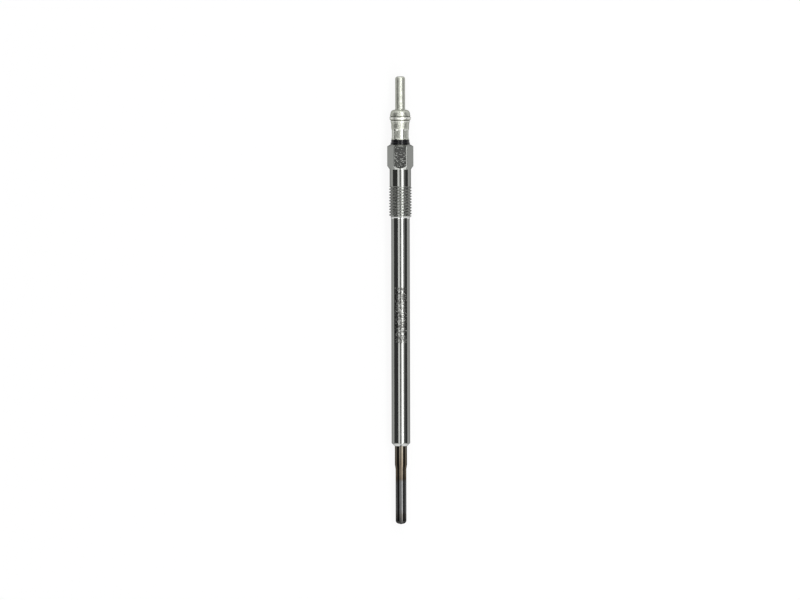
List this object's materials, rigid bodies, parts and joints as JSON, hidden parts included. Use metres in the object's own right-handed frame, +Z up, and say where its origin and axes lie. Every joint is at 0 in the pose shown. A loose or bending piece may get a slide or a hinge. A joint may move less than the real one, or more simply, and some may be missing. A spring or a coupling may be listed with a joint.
{
  "type": "diesel glow plug",
  "caption": "Slim diesel glow plug: a stepped heater tube and conical seat on a long steel shank, with a threaded collar, hexagon, insulating ring and a crimped push-on pin terminal.",
  "frame": {"origin": "centre of the footprint on the surface that the plug lies on, half way between the heater tip and the end of the terminal pin", "axes": "+Y along the plug from the heater tip to the terminal pin, within about half a degree because the thread lifts that end; +Z up, out of one flat of the hexagon; +X completes the right-handed set"},
  "size_m": [0.0092, 0.1566, 0.0081],
  "materials": {
    "housing_steel": "bright plated steel, finely turned",
    "heater_alloy": "dark, heat-tinted nickel alloy",
    "coil_wire": "drawn resistance wire",
    "control_wire": "drawn nickel wire",
    "magnesia": "compacted powder",
    "seal_rubber": "moulded heat-resistant rubber",
    "rod_steel": "drawn steel",
    "insulator_plastic": "glossy black moulding",
    "terminal_nickel": "satin nickel plate on steel"
  },
  "bodies": {
    "root": {"housing": "housing_steel", "heater_tube": "heater_alloy", "heating_coil": "coil_wire", "control_coil": "control_wire", "magnesia_fill": "magnesia", "tube_seal": "seal_rubber", "centre_rod": "rod_steel", "body_seal": "seal_rubber", "insulator": "insulator_plastic", "terminal": "terminal_nickel"}
  },
  "joints": []
}
